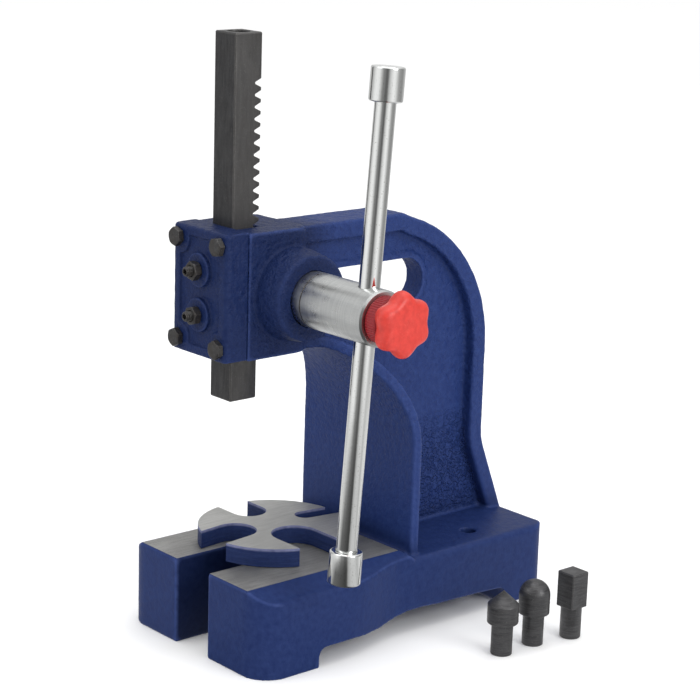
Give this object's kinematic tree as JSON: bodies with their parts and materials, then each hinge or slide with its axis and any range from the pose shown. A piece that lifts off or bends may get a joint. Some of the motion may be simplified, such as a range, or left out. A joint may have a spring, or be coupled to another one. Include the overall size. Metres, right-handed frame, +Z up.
{
  "type": "arbor press",
  "caption": "Bench arbor press: cast frame with open throat and slotted base, square rack ram, lever-turned pinion shaft, red clamp knob, notched round plate and loose ram tips.",
  "frame": {"origin": "on the bench, below the middle of the whole, the three loose tips included", "axes": "+Z up, -Y towards the front with the cover plate, +X towards the side with the lever and the clamp knob"},
  "size_m": [0.256, 0.3302, 0.4825],
  "materials": {
    "blue_paint": "satin enamel over a cast surface",
    "black_oxide": "oiled black oxide",
    "bright_steel": "turned, bright",
    "chrome": "polished",
    "red_plastic": "moulded, semi-gloss",
    "machined_iron": "machined faces, painted rim"
  },
  "bodies": {
    "frame": {"frame_casting": "blue_paint", "cover_plate": "blue_paint", "gib_strip": "bright_steel", "cover_bolt_top_left": "black_oxide", "cover_bolt_top_right": "black_oxide", "cover_bolt_bottom_left": "black_oxide", "cover_bolt_bottom_right": "black_oxide", "adjusting_screw_upper": "black_oxide", "adjusting_screw_lower": "black_oxide", "jam_nut_upper": "black_oxide", "jam_nut_lower": "black_oxide"},
    "ram": {"ram": "black_oxide", "tip_set_screw": "black_oxide"},
    "pinion": {"pinion_shaft": "bright_steel", "retaining_washer": "bright_steel", "retaining_screw": "black_oxide"},
    "lever": {"lever_bar": "chrome", "lever_cap_top": "chrome", "lever_cap_bottom": "chrome"},
    "stud": {"clamp_stud": "bright_steel"},
    "knob": {"clamp_knob": "red_plastic"},
    "plate": {"arbor_plate": "machined_iron"},
    "cone": {"cone_tip": "black_oxide"},
    "ball": {"ball_tip": "black_oxide"},
    "square": {"square_tip": "black_oxide"}
  },
  "joints": [
    {"name": "pinion_turn", "type": "hinge", "parent": "frame", "child": "pinion", "pos_m": [-0.04, -0.08894, 0.2863], "axis": [1, 0, 0], "range_deg": [-104.5, 355.3]},
    {"name": "ram_press", "type": "slide", "parent": "frame", "child": "ram", "axis": [0, 0, -1], "range_m": [-0.034, 0.1155]},
    {"name": "lever_slide", "type": "slide", "parent": "pinion", "child": "lever", "axis": [0, 0.0715, 0.9974], "range_m": [-0.08, 0.158]},
    {"name": "clamp_travel", "type": "slide", "parent": "pinion", "child": "stud", "axis": [1, 0, 0], "range_m": [0, 0.0025]},
    {"name": "knob_turn", "type": "hinge", "parent": "stud", "child": "knob", "pos_m": [0.1, -0.08894, 0.2863], "axis": [1, 0, 0], "range_deg": [0, 720]},
    {"name": "plate_turn", "type": "hinge", "parent": "frame", "child": "plate", "pos_m": [-0.047, -0.0679, 0.0703], "axis": [0, 0, 1], "continuous": true},
    {"name": "cone_tip_lift", "type": "slide", "parent": "frame", "child": "cone", "axis": [0, 0, 1], "range_m": [0, 0.1]},
    {"name": "ball_tip_lift", "type": "slide", "parent": "frame", "child": "ball", "axis": [0, 0, 1], "range_m": [0, 0.1]},
    {"name": "square_tip_lift", "type": "slide", "parent": "frame", "child": "square", "axis": [0, 0, 1], "range_m": [0, 0.1]}
  ],
  "couplings": [
    {"joint": "ram_press", "follows": "pinion_turn", "m_per_rad": 0.018621},
    {"joint": "clamp_travel", "follows": "knob_turn", "m_per_rad": 0.00019894}
  ]
}
